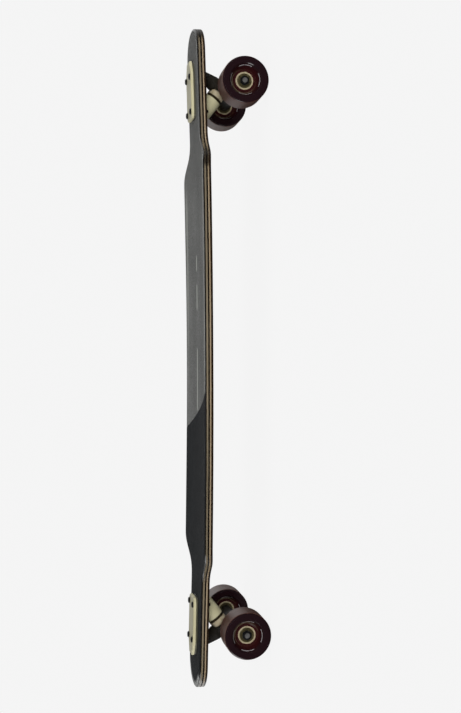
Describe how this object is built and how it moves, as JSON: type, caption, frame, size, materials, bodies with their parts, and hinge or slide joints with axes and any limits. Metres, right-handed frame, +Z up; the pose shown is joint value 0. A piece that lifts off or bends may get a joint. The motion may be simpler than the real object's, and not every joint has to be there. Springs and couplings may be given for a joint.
{
  "type": "longboard skateboard",
  "caption": "Drop-through longboard: a long narrow-necked ply deck with grip sheets, two sprung steering trucks and dark red wheels that spin on ball bearings.",
  "frame": {"origin": "on the floor, under the middle of the board", "axes": "+X along the board to the nose, +Y to the left of a rider who faces the nose, +Z up"},
  "size_m": [1.026, 0.257, 0.1075],
  "materials": {
    "ply_dark": "dark stained, clear coated",
    "ply_tan": "natural, clear coated",
    "ply_brown": "brown stained, clear coated",
    "grip_grey": "gritty, matte",
    "grip_charcoal": "gritty, matte",
    "cast_cream": "cast, satin coat",
    "black_metal": "cast, satin coat",
    "steel": "zinc plated",
    "black_steel": "black oxide",
    "bearing_steel": "ground",
    "shield_steel": "pressed",
    "black_rubber": "moulded",
    "cream_urethane": "moulded, satin",
    "maroon_urethane": "glossy faces, matte tread",
    "cream_plastic": "moulded"
  },
  "bodies": {
    "deck": {"deck_ply_1": "ply_dark", "deck_ply_2": "ply_tan", "deck_ply_3": "ply_dark", "deck_ply_4": "ply_tan", "deck_ply_5": "ply_brown", "front_grip_sheet": "grip_grey", "rear_grip_sheet": "grip_charcoal", "front_baseplate": "cast_cream", "front_pivot_cup": "black_rubber", "front_kingpin": "steel", "front_kingpin_nut": "steel", "front_boardside_washer": "black_steel", "front_roadside_washer": "black_steel", "front_boardside_bushing": "cream_urethane", "front_roadside_bushing": "cream_urethane", "front_mounting_bolts": "black_steel", "front_mounting_nuts": "black_steel", "rear_baseplate": "cast_cream", "rear_pivot_cup": "black_rubber", "rear_kingpin": "steel", "rear_kingpin_nut": "steel", "rear_boardside_washer": "black_steel", "rear_roadside_washer": "black_steel", "rear_boardside_bushing": "cream_urethane", "rear_roadside_bushing": "cream_urethane", "rear_mounting_bolts": "black_steel", "rear_mounting_nuts": "black_steel"},
    "front_hanger_body": {"front_hanger": "black_metal", "front_axle": "steel", "front_axle_nuts": "steel", "front_speed_washers": "steel", "front_bearing_spacers": "steel", "front_bearing_inner_races": "bearing_steel"},
    "rear_hanger_body": {"rear_hanger": "black_metal", "rear_axle": "steel", "rear_axle_nuts": "steel", "rear_speed_washers": "steel", "rear_bearing_spacers": "steel", "rear_bearing_inner_races": "bearing_steel"},
    "front_left_wheel": {"front_left_tyre": "maroon_urethane", "front_left_core": "cream_plastic", "front_left_bearing_outer_races": "bearing_steel", "front_left_bearing_shields": "shield_steel", "front_left_bearing_balls": "bearing_steel"},
    "front_right_wheel": {"front_right_tyre": "maroon_urethane", "front_right_core": "cream_plastic", "front_right_bearing_outer_races": "bearing_steel", "front_right_bearing_shields": "shield_steel", "front_right_bearing_balls": "bearing_steel"},
    "rear_left_wheel": {"rear_left_tyre": "maroon_urethane", "rear_left_core": "cream_plastic", "rear_left_bearing_outer_races": "bearing_steel", "rear_left_bearing_shields": "shield_steel", "rear_left_bearing_balls": "bearing_steel"},
    "rear_right_wheel": {"rear_right_tyre": "maroon_urethane", "rear_right_core": "cream_plastic", "rear_right_bearing_outer_races": "bearing_steel", "rear_right_bearing_shields": "shield_steel", "rear_right_bearing_balls": "bearing_steel"}
  },
  "joints": [
    {"name": "front_steer", "type": "hinge", "parent": "deck", "child": "front_hanger_body", "pos_m": [0.42087, 0, 0.05344], "axis": [0.6225, 0, 0.7826], "range_deg": [-16, 16], "stiffness_Nm_per_rad": 60, "deforming": ["front_boardside_bushing", "front_roadside_bushing"]},
    {"name": "rear_steer", "type": "hinge", "parent": "deck", "child": "rear_hanger_body", "pos_m": [-0.42087, 0, 0.05344], "axis": [-0.6225, 0, 0.7826], "range_deg": [-16, 16], "stiffness_Nm_per_rad": 60, "deforming": ["rear_boardside_bushing", "rear_roadside_bushing"]},
    {"name": "front_left_spin", "type": "hinge", "parent": "front_hanger_body", "child": "front_left_wheel", "pos_m": [0.4124, 0.103, 0.035], "axis": [0, 1, 0], "continuous": true},
    {"name": "front_right_spin", "type": "hinge", "parent": "front_hanger_body", "child": "front_right_wheel", "pos_m": [0.4124, -0.103, 0.035], "axis": [0, 1, 0], "continuous": true},
    {"name": "rear_left_spin", "type": "hinge", "parent": "rear_hanger_body", "child": "rear_left_wheel", "pos_m": [-0.4124, 0.103, 0.035], "axis": [0, 1, 0], "continuous": true},
    {"name": "rear_right_spin", "type": "hinge", "parent": "rear_hanger_body", "child": "rear_right_wheel", "pos_m": [-0.4124, -0.103, 0.035], "axis": [0, 1, 0], "continuous": true}
  ]
}
